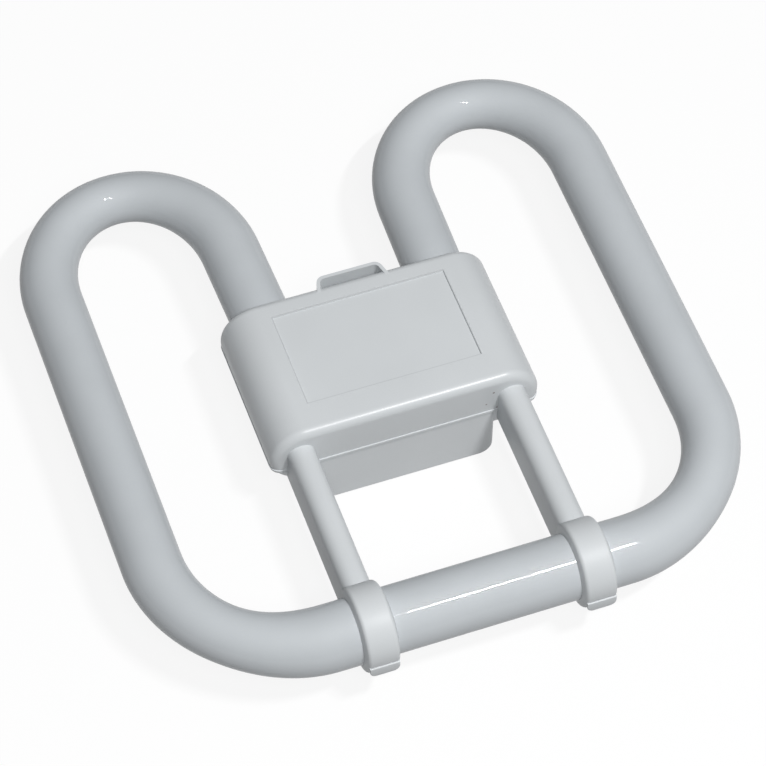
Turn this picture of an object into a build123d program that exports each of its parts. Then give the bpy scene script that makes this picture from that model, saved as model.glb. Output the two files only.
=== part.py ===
from build123d import *
import os
from math import atan, cos, pi, radians, sin, sqrt, tan

os.makedirs("parts", exist_ok=True)

# A square compact fluorescent lamp: one bent glass tube, a two-part plastic cap with two arms
# that clip over the tube, and the starting gear inside the cap.
# Sizes are millimetres. +Z is up and +Y points to the two U-turns of the glass. The origin is
# under the middle of the lamp, level with the flat bottom of the cap on which the lamp lies.

# Whole lamp, with the clips
lamp_width = 138.0
lamp_length = 141.0
lamp_thickness = 27.5

# Glass tube, drawn thinner where it was bent
run_diameter = 14.5
corner_diameter = 12.5
leg_diameter = 13.2
turn_top_diameter = 11.3
inner_leg_diameter = 13.5
corner_radius = 29.6
turn_rise = 24.1
inner_leg_spacing = 41.9
inner_leg_lean = 1.7
bend_stations = 9
exhaust_tip_diameter = 4.4
exhaust_tip_length = 2.2
exhaust_tip_radius = 1.2

# Cap outline
cap_width = 61.6
cap_length = 36.9
cap_shift = 1.9
saddle_depth = 16.9
cap_wall = 1.4
cap_edge_radius = 2.0
block_width = 40.9
block_length = 33.0
block_corner_radius = 3.2
block_upright_radius = 0.8
parting_drop = 2.8
base_inset = 0.2
tube_hole_clearance = 0.4

# Cap cover: panel, rim bead and strap
panel_width = 39.8
panel_length = 24.2
panel_shift = 1.5
panel_depth = 0.35
bead_reach = 0.4
bead_height = 0.8
bead_slope_share = 0.9
strap_root_width = 16.8
strap_tip_width = 14.4
strap_reach = 2.5
strap_thickness = 1.1
strap_height = 9.0
strap_corner_radius = 1.4

# Arms and clips
arm_spacing = 48.2
arm_width = 6.2
arm_top_rise = 4.9
arm_bottom_drop = 6.0
arm_top_radius = 2.2
arm_wall = 1.5
arm_root_web = 2.0
clip_clearance = 0.15
clip_thickness = 1.85
clip_edge_radius = 0.5
clip_lip_reach = 0.25
clip_lip_start = 2.0
clip_lip_drop = 5.1
clip_lip_corner_radius = 0.9
clip_mouth_angle = 52.0
clip_mouth_tilt = 38.0

# Joint between cover and base
lip_thickness = 1.0
lip_height = 2.2
lip_clearance = 0.1
hook_width = 6.0
hook_spacing = 18.0
hook_height = 5.4
hook_barb = 0.6
hook_barb_height = 1.2
hook_clearance = 0.1

# Plug well and contact pins
well_width = 26.0
well_length = 14.0
well_depth = 9.0
well_wall = 1.4
well_corner_radius = 1.5
key_width = 4.0
key_depth = 1.6
pin_spacing = 8.0
pin_diameter = 2.4
pin_length = 6.6
pin_seat_diameter = 3.0
pin_collar_drop = 0.4
pin_flange_diameter = 4.2
pin_flange_height = 0.8
pin_cup_diameter = 2.6
pin_cup_height = 2.2
pin_tip_radius = 0.5

# Cradles and cement that hold the two ends of the glass
cradle_length = 8.0
cradle_far_gap = 5.0
cradle_wall = 2.8
cement_thickness = 0.6
end_room = 3.4

# Starting gear
starter_diameter = 7.0
starter_length = 16.0
starter_x = -5.6
starter_neck_diameter = 4.6
starter_neck_length = 2.4
starter_tip_diameter = 2.6
starter_lead_spacing = 2.4
rib_thickness = 1.2
rib_spacing = 10.0
rib_clearance = 0.1
capacitor_width = 7.0
capacitor_length = 11.0
capacitor_height = 7.0
capacitor_x = 5.8
capacitor_edge_radius = 1.2
capacitor_rib_width = 3.4
capacitor_rib_drop = 1.75
capacitor_lead_spacing = 2.5

# Wires and crimps
wire_diameter = 0.8
wire_bend_radius = 0.9
cathode_lead_offset = 3.6
seal_depth = 2.0
crimp_diameter = 2.8
crimp_length = 5.0
crimp_x = 10.5
crimp_wall_gap = 4.1
crimp_wire_offset = 0.6
crimp_grip = 1.5
pin_lead_x = 11.5
pin_lead_wall_gap = 1.7
pin_lead_rise = 0.9
pin_lead_grip = 1.2

# Places worked out from the sizes above
clip_inner_radius = run_diameter / 2 + clip_clearance
clip_outer_radius = clip_inner_radius + clip_thickness
tube_axis_height = lamp_thickness - clip_outer_radius
leg_x = (lamp_width - leg_diameter) / 2
lip_outer_radius = clip_outer_radius + clip_lip_reach
run_y = -lamp_length / 2 + lip_outer_radius
turn_top_y = (lamp_length - turn_top_diameter) / 2
turn_foot_y = turn_top_y - turn_rise
turn_half_width = (leg_x - inner_leg_spacing / 2) / 2
turn_middle_x = leg_x - turn_half_width
lean = radians(inner_leg_lean)
turn_end_angle = pi - atan(turn_rise / turn_half_width * tan(lean))
near_y = cap_shift - cap_length / 2
far_y = cap_shift + cap_length / 2
near_inner_y = near_y + cap_wall
far_inner_y = far_y - cap_wall
cap_top = tube_axis_height + saddle_depth / 2
parting_z = tube_axis_height - parting_drop
block_far_y = near_y + block_length
glass_end_y = near_inner_y + end_room + exhaust_tip_length + inner_leg_diameter / 2
cradle_far_y = far_inner_y - cradle_far_gap
cradle_near_y = cradle_far_y - cradle_length
seat_diameter = inner_leg_diameter + 2 * cement_thickness
well_roof_z = well_depth + well_wall
pin_cup_z = well_roof_z + pin_cup_height
arm_top_z = tube_axis_height + arm_top_rise
arm_bottom_z = tube_axis_height - arm_bottom_drop
crimp_y = near_inner_y + crimp_wall_gap
lead_x_in = inner_leg_spacing / 2 - (turn_foot_y - glass_end_y) * tan(lean) - cathode_lead_offset
lead_x_out = lead_x_in + 2 * cathode_lead_offset
lead_start_y = glass_end_y - sqrt((inner_leg_diameter / 2) ** 2 - cathode_lead_offset ** 2) + seal_depth


# Shared shapes
def along_y(sketch, y_near, y_far):
    """Extrude a sketch drawn in X and Z from one Y to another."""
    plane = Plane(origin=(0, y_far, 0), x_dir=(1, 0, 0), z_dir=(0, -1, 0))
    return extrude(plane * sketch, y_far - y_near)


def span(x_range, y_range, z_range):
    """A box given by its lowest and highest X, Y and Z."""
    sizes = [high - low for low, high in (x_range, y_range, z_range)]
    middle = [(high + low) / 2 for low, high in (x_range, y_range, z_range)]
    return Pos(*middle) * Box(*sizes)


def slab(z_low, z_high):
    """A flat slab between two heights, larger than the lamp all round."""
    return span((-lamp_width, lamp_width), (-lamp_length, lamp_length), (z_low, z_high))


def both_sides(solid):
    """The solid and its mirror image across the middle of the lamp."""
    return [solid, mirror(solid, about=Plane.YZ)]


def wire(points):
    """A round wire that follows a line of points, with its bends rounded."""
    path = FilletPolyline(*points, radius=wire_bend_radius)
    first, second = Vector(*points[0]), Vector(*points[1])
    return sweep(Plane(origin=first, z_dir=second - first) * Circle(wire_diameter / 2), path=path)


def rod_between(start, end):
    """A straight piece of wire from one point to another."""
    way = Vector(*end) - Vector(*start)
    return extrude(Plane(origin=start, z_dir=way) * Circle(wire_diameter / 2), way.length)


def upright_rod(diameter, z_low, z_high):
    """A round rod on the upright axis between two heights."""
    return Pos(0, 0, (z_low + z_high) / 2) * Cylinder(diameter / 2, z_high - z_low)


def smooth_step(start, end, share):
    """A value that leaves its start and reaches its end with no kink."""
    return start + (end - start) * share * share * (3 - 2 * share)


def through_middle(start, middle, end, share):
    """A size that goes smoothly from its start through a middle value to its end."""
    if share < 0.5:
        return smooth_step(start, middle, 2 * share)
    return smooth_step(middle, end, 2 * share - 1)


# Glass tube
def glass_section(x, y, direction, diameter):
    """A round section of the tube, square to the way the tube runs."""
    plane = Plane(origin=(x, y, tube_axis_height), x_dir=(0, 0, 1), z_dir=direction)
    return plane * Circle(diameter / 2)


def glass_corner():
    """The rounded corner between the straight run and the right-hand outer leg."""
    sections = []
    for station in range(bend_stations):
        share = station / (bend_stations - 1)
        angle = share * pi / 2
        x = leg_x - corner_radius + corner_radius * sin(angle)
        y = run_y + corner_radius - corner_radius * cos(angle)
        diameter = through_middle(run_diameter, corner_diameter, leg_diameter, share)
        sections.append(glass_section(x, y, (cos(angle), sin(angle), 0), diameter))
    return loft(sections)


def turn_point(angle):
    """A point on the centreline of the right-hand U-turn."""
    x = turn_middle_x + turn_half_width * cos(angle)
    y = turn_foot_y + turn_rise * sin(angle)
    return x, y


def glass_turn(first_share, last_share):
    """One part of the U-turn, whose centreline is part of an ellipse."""
    sections = []
    for station in range(bend_stations):
        share = first_share + (last_share - first_share) * station / (bend_stations - 1)
        angle = share * turn_end_angle
        direction = (-turn_half_width * sin(angle), turn_rise * cos(angle), 0)
        diameter = through_middle(leg_diameter, turn_top_diameter, inner_leg_diameter, share)
        sections.append(glass_section(*turn_point(angle), direction, diameter))
    return loft(sections)


def inner_leg_x(y):
    """Where the axis of the leaning inner leg is at a given Y."""
    x_end, y_end = turn_point(turn_end_angle)
    return x_end - (y_end - y) * tan(lean)


def inner_leg_rod(y_near, y_far, diameter):
    """A round rod on the axis of the right-hand inner leg."""
    length = (y_far - y_near) / cos(lean)
    x, y = inner_leg_x(y_far), y_far
    way = (-sin(lean), -cos(lean), 0)
    plane = Plane(origin=(x, y, tube_axis_height), x_dir=(0, 0, 1), z_dir=way)
    return extrude(plane * Circle(diameter / 2), length)


def glass_half():
    """The right-hand half of the tube, from the corner to its closed end in the cap."""
    leg_start_y = run_y + corner_radius
    leg = extrude(glass_section(leg_x, leg_start_y, (0, 1, 0), leg_diameter), turn_foot_y - leg_start_y)
    inner_leg = inner_leg_rod(glass_end_y, turn_point(turn_end_angle)[1], inner_leg_diameter)
    end_point = (inner_leg_x(glass_end_y), glass_end_y, tube_axis_height)
    dome = Pos(*end_point) * Sphere(inner_leg_diameter / 2)
    tip_y = glass_end_y - inner_leg_diameter / 2 - exhaust_tip_length
    tip = inner_leg_rod(tip_y, glass_end_y, exhaust_tip_diameter)
    tip = fillet(tip.edges().sort_by(Axis.Y)[0], exhaust_tip_radius)
    half = glass_corner() + leg + glass_turn(0, 0.5) + glass_turn(0.5, 1) + inner_leg + dome + tip
    for x in (lead_x_in, lead_x_out):
        half -= rod_between((x, lead_start_y, tube_axis_height), (x, near_y, tube_axis_height))
    return half


def make_glass_tube():
    """The sealed tube: run, corners, outer legs, U-turns and inner legs in one piece of glass."""
    run_half_length = leg_x - corner_radius
    run = extrude(glass_section(-run_half_length, run_y, (1, 0, 0), run_diameter), 2 * run_half_length)
    right, left = both_sides(glass_half())
    return run + right + left


# Cap outline, shared by cover and base
def saddle_outline(inset):
    """The round-ended outline that wraps the two inner legs, brought in by an inset."""
    return Pos(0, tube_axis_height) * SlotOverall(cap_width - 2 * inset, saddle_depth - 2 * inset)


def block_outline(inset):
    """The outline of the block under the saddle, brought in by an inset."""
    height = parting_z - inset
    outline = Pos(0, inset + height / 2) * Rectangle(block_width - 2 * inset, height)
    return fillet(outline.vertices().sort_by(Axis.Y)[:2], block_corner_radius - inset)


def saddle_body(inset):
    """The saddle as a full body with rounded near and far edges."""
    body = along_y(saddle_outline(inset), near_y + inset, far_y - inset)
    ends = body.faces().filter_by(Axis.Y)
    return fillet(ends.edges(), cap_edge_radius)


def block_body():
    """The block as a full body with softened upright corners."""
    body = along_y(block_outline(0), near_y, block_far_y)
    return fillet(body.edges().filter_by(Axis.Z), block_upright_radius)


def saddle_core():
    """The hollow of the saddle."""
    return along_y(saddle_outline(cap_wall), near_inner_y, far_inner_y)


def block_core():
    """The hollow of the block, open into the hollow of the saddle."""
    return along_y(block_outline(cap_wall), near_inner_y, block_far_y - cap_wall)


def tube_holes():
    """The two holes through the far wall for the inner legs."""
    diameter = inner_leg_diameter + 2 * tube_hole_clearance
    return both_sides(inner_leg_rod(far_y - 2 * cap_wall, far_y + cap_wall, diameter))


# Cap cover with its strap, arms and clips
def panel_recess():
    """The shallow panel in the top of the cover."""
    y_middle = cap_shift + panel_shift
    return span(
        (-panel_width / 2, panel_width / 2),
        (y_middle - panel_length / 2, y_middle + panel_length / 2),
        (cap_top - panel_depth, cap_top + panel_depth),
    )


def rim_bead():
    """The fine bead along the lower edge of the cover."""
    reach = bead_reach
    body = along_y(saddle_outline(-reach), near_y - reach, far_y + reach)
    body = fillet(body.faces().filter_by(Axis.Y).edges(), cap_edge_radius + reach)
    band = body & slab(parting_z, parting_z + bead_height)
    slope = reach * bead_slope_share
    return chamfer(band.faces().sort_by(Axis.Z)[-1].edges(), slope) - saddle_core()


def strap():
    """The flat strap that stands off the far wall of the cover."""
    root_y = far_y - cap_edge_radius
    tip_y = far_y + strap_reach
    half_root, half_tip = strap_root_width / 2, strap_tip_width / 2
    corners = [(-half_root, root_y), (half_root, root_y), (half_tip, tip_y), (-half_tip, tip_y)]
    outline = Polygon(*corners, align=None)
    outline = fillet(outline.vertices().sort_by(Axis.Y)[-2:], strap_corner_radius)
    ring = outline - offset(outline, -strap_thickness)
    return extrude(Pos(0, 0, cap_top - strap_height) * ring, strap_height)


def arm_outline():
    """The section of an arm: flat sides and a top with well rounded edges."""
    height = arm_top_z - arm_bottom_z
    outline = Pos(0, arm_bottom_z + height / 2) * Rectangle(arm_width, height)
    return fillet(outline.vertices().sort_by(Axis.Y)[-2:], arm_top_radius)


def clip_outline():
    """The side view of a clip's ring, drawn in Y and Z around the axis of the run."""
    half_mouth = radians(clip_mouth_angle)
    reach = 2 * clip_outer_radius / cos(half_mouth)
    centre_line = radians(clip_mouth_tilt) - pi / 2
    sides = [centre_line - half_mouth, centre_line + half_mouth]
    corners = [(reach * cos(side), reach * sin(side)) for side in sides]
    mouth = Polygon((0, 0), *corners, align=None)
    return Circle(clip_outer_radius) - Circle(clip_inner_radius) - mouth


def clip_lip():
    """The straight lip at the front of a clip, a little proud of its ring."""
    lip = span(
        (-arm_width / 2, arm_width / 2),
        (run_y - lip_outer_radius, run_y - clip_inner_radius),
        (tube_axis_height - clip_lip_drop, tube_axis_height - clip_lip_start),
    )
    return fillet(lip.edges().filter_by(Axis.Y).sort_by(Axis.Z)[:2], clip_lip_corner_radius)


def arm_and_clip():
    """The right-hand arm with the clip that snaps over the run."""
    arm = along_y(arm_outline(), run_y, near_inner_y)
    arm -= span((-arm_width, arm_width), (near_y, far_y), (0, parting_z))
    groove_half_width = arm_width / 2 - arm_wall
    groove = span(
        (-groove_half_width, groove_half_width),
        (run_y + clip_outer_radius, near_y - arm_root_web),
        (0, arm_top_z - arm_wall),
    )
    side_origin = (-arm_width / 2, run_y, tube_axis_height)
    side_plane = Plane(origin=side_origin, x_dir=(0, 1, 0), z_dir=(1, 0, 0))
    bore = extrude(side_plane * Circle(clip_outer_radius - clip_thickness / 2), arm_width)
    clip = extrude(side_plane * clip_outline(), arm_width)
    outer_arcs = clip.edges().filter_by(GeomType.CIRCLE).group_by(SortBy.RADIUS)[-1]
    clip = fillet(outer_arcs, clip_edge_radius)
    return Pos(arm_spacing / 2, 0, 0) * (arm - bore - groove + clip + clip_lip())


def hook_pockets(clearance):
    """The hollows in the cover's near and far walls that the hooks of the base snap into."""
    z_low = parting_z + hook_height - hook_barb_height - clearance
    z_high = parting_z + hook_height + clearance
    half = hook_width / 2 + clearance
    pockets = []
    for x in (-hook_spacing / 2, hook_spacing / 2):
        x_range = (x - half, x + half)
        pockets.append(span(x_range, (near_inner_y - hook_barb - clearance, near_inner_y), (z_low, z_high)))
    return pockets


def make_cap_cover():
    """The upper moulding of the cap, with panel, bead, strap, arms and clips."""
    shell = (saddle_body(0) - saddle_core()) & slab(parting_z, 2 * cap_top)
    right, left = both_sides(arm_and_clip())
    cover = shell + rim_bead() + strap() + right + left
    for cutter in [panel_recess(), *tube_holes(), *hook_pockets(hook_clearance)]:
        cover -= cutter
    return cover


# Cap base with plug well, cradles and ribs
def well_outline(outset):
    """The outline of the plug well, let out by an outset."""
    width, length = well_width + 2 * outset, well_length + 2 * outset
    outline = RectangleRounded(width, length, well_corner_radius + outset)
    key = Pos(0, well_length / 2) * Rectangle(key_width + 2 * outset, 2 * (key_depth + outset))
    return Pos(0, cap_shift) * (outline + key)


def plug_well():
    """The walls and roof of the well that the lampholder's plug enters."""
    return extrude(well_outline(well_wall), well_roof_z)


def plug_space():
    """The open space of the well."""
    return extrude(Pos(0, 0, -cap_wall) * well_outline(0), well_depth + cap_wall)


def pin_holes():
    """Holes in the roof of the well for the two contact pins."""
    hole = upright_rod(pin_seat_diameter, well_depth - well_wall, well_roof_z + well_wall)
    return both_sides(Pos(pin_spacing / 2, cap_shift, 0) * hole)


def cradle():
    """The right-hand trough that the end of the glass is cemented into, before its seat is cut."""
    x_low = inner_leg_x(cradle_near_y) - seat_diameter / 2 - cradle_wall
    body = along_y(saddle_outline(cap_wall / 2), cradle_near_y, cradle_far_y)
    return body & span((x_low, cap_width), (near_y, far_y), (0, parting_z - lip_clearance))


def seats():
    """The hollows in the base that leave room for the glass and its cement."""
    long_rod = inner_leg_rod(glass_end_y, far_y, inner_leg_diameter + 2 * rib_clearance)
    seat = inner_leg_rod(cradle_near_y, cradle_far_y, seat_diameter)
    return [*both_sides(long_rod), *both_sides(seat)]


def register_lip():
    """The lip of the base that stands inside the wall of the cover."""
    outer = cap_wall + lip_clearance
    inner = outer + lip_thickness
    hollow = along_y(saddle_outline(inner), near_y + inner, far_y - inner)
    ring = along_y(saddle_outline(outer), near_y + outer, far_y - outer)
    ring &= slab(parting_z - lip_height, parting_z + lip_height)
    footing = along_y(saddle_outline(cap_wall - base_inset), near_inner_y, far_inner_y)
    footing &= slab(parting_z - lip_height, parting_z)
    return ring + footing - hollow


def hooks():
    """The two hooks on the near side of the base."""
    outer_y = near_inner_y + lip_clearance
    inner_y = outer_y + lip_thickness
    parts = []
    for x in (-hook_spacing / 2, hook_spacing / 2):
        x_range = (x - hook_width / 2, x + hook_width / 2)
        stem = span(x_range, (outer_y, inner_y), (parting_z - lip_height, parting_z + hook_height))
        z_barb = parting_z + hook_height - hook_barb_height
        barb_y = near_inner_y - hook_barb + hook_clearance
        parts.append(stem + span(x_range, (barb_y, outer_y), (z_barb, z_barb + hook_barb_height)))
    return parts


def starter_ribs():
    """The two forked ribs on the roof of the well that carry the starter bulb."""
    half_width = starter_diameter / 2 + rib_thickness
    x_range = (starter_x - half_width, starter_x + half_width)
    ribs = []
    for y in (cap_shift - rib_spacing / 2, cap_shift + rib_spacing / 2):
        ribs.append(span(x_range, (y, y + rib_thickness), (well_depth, tube_axis_height)))
    seat_outline = Pos(starter_x, tube_axis_height) * Circle(starter_diameter / 2 + rib_clearance)
    seat = along_y(seat_outline, near_inner_y, far_inner_y)
    return [rib - seat for rib in ribs]


def capacitor_ribs():
    """The two ribs on the roof of the well that stand at the ends of the capacitor."""
    half_width = capacitor_rib_width / 2
    x_range = (capacitor_x - half_width, capacitor_x + half_width)
    gap = capacitor_length / 2 + rib_clearance
    ribs = []
    for y in (cap_shift - gap - rib_thickness, cap_shift + gap):
        z_range = (well_depth, tube_axis_height - capacitor_rib_drop)
        ribs.append(span(x_range, (y, y + rib_thickness), z_range))
    return ribs


def capacitor_rest():
    """The post on the roof of the well that the capacitor lies on."""
    x_range = (capacitor_x - rib_thickness / 2, capacitor_x + capacitor_rib_width / 2)
    y_low = cap_shift + pin_flange_diameter / 2 + rib_clearance
    y_range = (y_low, cap_shift + capacitor_length / 2 + rib_clearance)
    return span(x_range, y_range, (well_depth, tube_axis_height - capacitor_height / 2))


def make_cap_base():
    """The lower moulding of the cap, with its plug well."""
    outer = saddle_body(base_inset) + block_body()
    shell = (outer - saddle_core() - block_core()) & slab(0, parting_z)
    base = shell + register_lip() + plug_well()
    for extra in [*both_sides(cradle()), *hooks(), *starter_ribs(), *capacitor_ribs()]:
        base += extra
    base += capacitor_rest()
    for cutter in [plug_space(), *pin_holes(), *tube_holes(), *seats()]:
        base -= cutter
    return base


# Cement and contact pins
def make_cement():
    """The band of cement between the right-hand end of the glass and its cradle."""
    ring = inner_leg_rod(cradle_near_y, cradle_far_y, seat_diameter)
    ring -= inner_leg_rod(cradle_near_y - cap_wall, cradle_far_y + cap_wall, inner_leg_diameter)
    return ring & span((0, cap_width), (near_y, far_y), (0, parting_z - lip_clearance))


def make_contact_pin():
    """The right-hand contact pin: shank, seat with a collar, flange, and a cup for the wire."""
    bottom, collar_z = well_depth - pin_length, well_depth - pin_collar_drop
    shank = upright_rod(pin_diameter, bottom, well_depth)
    shank = fillet(shank.edges().sort_by(Axis.Z)[0], pin_tip_radius)
    seat = upright_rod(pin_seat_diameter, collar_z, well_roof_z)
    flange = upright_rod(pin_flange_diameter, well_roof_z, well_roof_z + pin_flange_height)
    cup = upright_rod(pin_cup_diameter, well_roof_z, pin_cup_z)
    pin = shank + seat + flange + cup
    pin -= rod_between((0, 0, pin_cup_z - pin_lead_grip), (0, 0, pin_cup_z + pin_lead_grip))
    return Pos(pin_spacing / 2, cap_shift, 0) * pin


# Starting gear
def starter_wire_path(x, end_x):
    """The line of a starter lead from the neck of the bulb to a crimp."""
    z = tube_axis_height - crimp_wire_offset
    start_y = cap_shift - starter_length / 2
    return [(x, start_y, z), (x, crimp_y, z), (end_x, crimp_y, z)]


def make_starter_bulb():
    """The glow starter: a small glass bulb with a neck, a sealed tip and its two leads."""
    bulb_plane = Plane(origin=(starter_x, cap_shift, tube_axis_height), z_dir=(0, 1, 0))
    body = extrude(bulb_plane * Circle(starter_diameter / 2), starter_length / 2, both=True)
    near_edge, far_edge = body.edges().sort_by(Axis.Y)[0], body.edges().sort_by(Axis.Y)[-1]
    body = fillet([near_edge, far_edge], (starter_diameter - starter_neck_diameter) / 2)
    reach = starter_length / 2
    neck_plane = bulb_plane.offset(-reach - starter_neck_length)
    neck = extrude(neck_plane * Circle(starter_neck_diameter / 2), starter_neck_length + reach)
    tip = Pos(starter_x, cap_shift + reach, tube_axis_height) * Sphere(starter_tip_diameter / 2)
    bulb = body + neck + tip
    grip_x = crimp_x - crimp_length / 2 + crimp_grip
    for x, end_x in ((-starter_lead_spacing / 2, -grip_x), (starter_lead_spacing / 2, grip_x)):
        bulb += wire(starter_wire_path(starter_x + x, end_x))
    return bulb


def capacitor_wire_path(x, end_x):
    """The line of a capacitor lead from its near end to a crimp."""
    z = tube_axis_height + crimp_wire_offset
    return [(x, cap_shift, z), (x, crimp_y, z), (end_x, crimp_y, z)]


def make_starter_capacitor():
    """The capacitor beside the starter bulb, a moulded block with two leads."""
    body = Box(capacitor_width, capacitor_length, capacitor_height)
    body = fillet(body.edges(), capacitor_edge_radius)
    capacitor = Pos(capacitor_x, cap_shift, tube_axis_height) * body
    grip_x = crimp_x - crimp_length / 2 + crimp_grip
    for x, end_x in ((-capacitor_lead_spacing / 2, -grip_x), (capacitor_lead_spacing / 2, grip_x)):
        capacitor += wire(capacitor_wire_path(capacitor_x + x, end_x))
    return capacitor


# Wires from the glass
def make_crimp():
    """The right-hand metal sleeve that joins a lead of the glass to the starting gear."""
    low, high = crimp_x - crimp_length / 2, crimp_x + crimp_length / 2
    plane = Plane(origin=(low, crimp_y, tube_axis_height), z_dir=(1, 0, 0))
    sleeve = extrude(plane * Circle(crimp_diameter / 2), crimp_length)
    socket_start = (high - crimp_grip, crimp_y, tube_axis_height)
    sleeve -= rod_between(socket_start, (high + crimp_length, crimp_y, tube_axis_height))
    for z in (tube_axis_height - crimp_wire_offset, tube_axis_height + crimp_wire_offset):
        sleeve -= rod_between((low + crimp_grip, crimp_y, z), (0, crimp_y, z))
    return sleeve


def make_starter_lead():
    """The right-hand lead from the inner side of the glass end to its crimp."""
    z = tube_axis_height
    end_x = crimp_x + crimp_length / 2 - crimp_grip
    return wire([(lead_x_in, lead_start_y, z), (lead_x_in, crimp_y, z), (end_x, crimp_y, z)])


def make_pin_lead():
    """The right-hand lead from the outer side of the glass end to its contact pin."""
    pin_x, low_z, high_z = pin_spacing / 2, pin_cup_z + pin_lead_rise, tube_axis_height
    wall_y = near_inner_y + pin_lead_wall_gap
    points = [
        (pin_x, cap_shift, pin_cup_z - pin_lead_grip),
        (pin_x, cap_shift, low_z),
        (pin_lead_x, cap_shift, low_z),
        (pin_lead_x, wall_y, low_z),
        (pin_lead_x, wall_y, high_z),
        (lead_x_out, wall_y, high_z),
        (lead_x_out, lead_start_y, high_z),
    ]
    return wire(points)


PARTS = {
    "glass_tube": make_glass_tube(),
    "cap_cover": make_cap_cover(),
    "cap_base": make_cap_base(),
    "starter_bulb": make_starter_bulb(),
    "starter_capacitor": make_starter_capacitor(),
}
PAIRS = {
    "cement": make_cement(),
    "contact_pin": make_contact_pin(),
    "crimp": make_crimp(),
    "starter_lead": make_starter_lead(),
    "pin_lead": make_pin_lead(),
}
for name, solid in PAIRS.items():
    PARTS[f"right_{name}"], PARTS[f"left_{name}"] = both_sides(solid)

for name, solid in PARTS.items():
    export_step(solid, f"parts/{name}.step")
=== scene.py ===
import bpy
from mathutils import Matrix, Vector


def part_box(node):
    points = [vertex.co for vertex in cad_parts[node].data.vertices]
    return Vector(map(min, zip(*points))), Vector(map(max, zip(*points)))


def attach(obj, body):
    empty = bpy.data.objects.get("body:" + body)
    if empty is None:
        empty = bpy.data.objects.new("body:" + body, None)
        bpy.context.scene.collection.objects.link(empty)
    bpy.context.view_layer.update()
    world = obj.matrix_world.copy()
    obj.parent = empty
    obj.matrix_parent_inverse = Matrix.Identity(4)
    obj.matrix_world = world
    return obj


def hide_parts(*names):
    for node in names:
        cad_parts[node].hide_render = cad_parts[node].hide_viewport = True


bl_info = {
    "name": "Square compact fluorescent lamp",
    "version": (1, 0, 0),
    "blender": (4, 5, 0),
    "location": "View3D > Sidebar > Lamp",
    "description": "Builds the glass, cap, arms and finishes of a square compact fluorescent lamp",
    "category": "Object",
}

from math import atan, cos, pi, radians, sin, tan

import bmesh
import bpy
from bpy.props import FloatProperty, FloatVectorProperty, IntProperty, PointerProperty
from mathutils import Matrix, Vector

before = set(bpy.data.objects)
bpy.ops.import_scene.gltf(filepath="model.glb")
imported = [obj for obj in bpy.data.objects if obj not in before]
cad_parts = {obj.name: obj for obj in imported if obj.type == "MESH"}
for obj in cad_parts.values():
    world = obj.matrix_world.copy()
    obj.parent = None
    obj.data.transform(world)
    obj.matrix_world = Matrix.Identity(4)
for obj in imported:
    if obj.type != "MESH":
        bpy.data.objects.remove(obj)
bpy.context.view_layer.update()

GLASS_LOW, GLASS_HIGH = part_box("glass_tube")
COVER_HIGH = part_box("cap_cover")[1]
AXIS_HEIGHT = (GLASS_LOW[2] + GLASS_HIGH[2]) / 2

# Small distances, in metres
TINY = 0.00002  # keeps two faces out of one plane
ON_PLANE = 1e-6  # a point this near a plane lies on it
WELD = 1e-7  # points this near each other are one
BAR_SETBACK = 0.00005  # from a clip's inner face to the end of its arm

# Rings along the stretches of the glass
RUN_RINGS = 6
CORNER_RINGS = 32
LEG_RINGS = 8
TURN_RINGS = 64
INNER_RINGS = 7
TIP_RINGS = 14
TIP_SWEEP = radians(84)

# How much of a small step its rounding takes
STEP_ROUND = 0.7

# Ramp stops that draw out the middle of a noise
DRAWN_OUT = [(0.3, 0.0), (0.7, 1.0)]

# Inputs and output of a Mix node that mixes colours
MIX_INPUTS = (0, 6, 7)
MIX_RESULT = 2

# The dark specks on the cover's near face: place along X, height and radius
SPECKS = ((0.0199, 0.02241, 0.00034), (0.01832, 0.01877, 0.00026), (0.0208, 0.01667, 0.0003))
SPECK_COLOUR = (0.16, 0.10, 0.09, 1)
SPECK_STRENGTH = 0.75

# The line of painted shade in the sunk edge of the panel, standing in for the shade of its step
PANEL_SHADE_CORE = 0.00004
PANEL_SHADE_REACH = 0.00022
PANEL_SHADE_FACTOR = 0.45
PANEL_SHADE_STRENGTH = 0.3

# How many times as light as the cover the base is
BASE_PALENESS = 1.06


# Kinds of setting
def length(label, words, default):
    """A size that a user can change, in metres."""
    return FloatProperty(
        name=label, description=words, default=default, min=0, unit="LENGTH", subtype="DISTANCE"
    )


def place_along(label, words, default):
    """A place along one axis, in metres."""
    return FloatProperty(name=label, description=words, default=default, unit="LENGTH")


def point(label, words, default):
    """A place in space, in metres."""
    return FloatVectorProperty(name=label, description=words, default=default, subtype="TRANSLATION")


def turning(label, words, degrees):
    """An angle, with its default in degrees."""
    return FloatProperty(name=label, description=words, default=radians(degrees), subtype="ANGLE")


def number(label, words, default):
    """A plain number from nothing up."""
    return FloatProperty(name=label, description=words, default=default, min=0)


def share(label, words, default):
    """A plain number between nothing and one."""
    return FloatProperty(name=label, description=words, default=default, min=0, max=1, subtype="FACTOR")


def colour(label, words, default):
    """A colour that a user can change."""
    return FloatVectorProperty(
        name=label, description=words, default=default, size=3, min=0, max=1, subtype="COLOR"
    )


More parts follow.
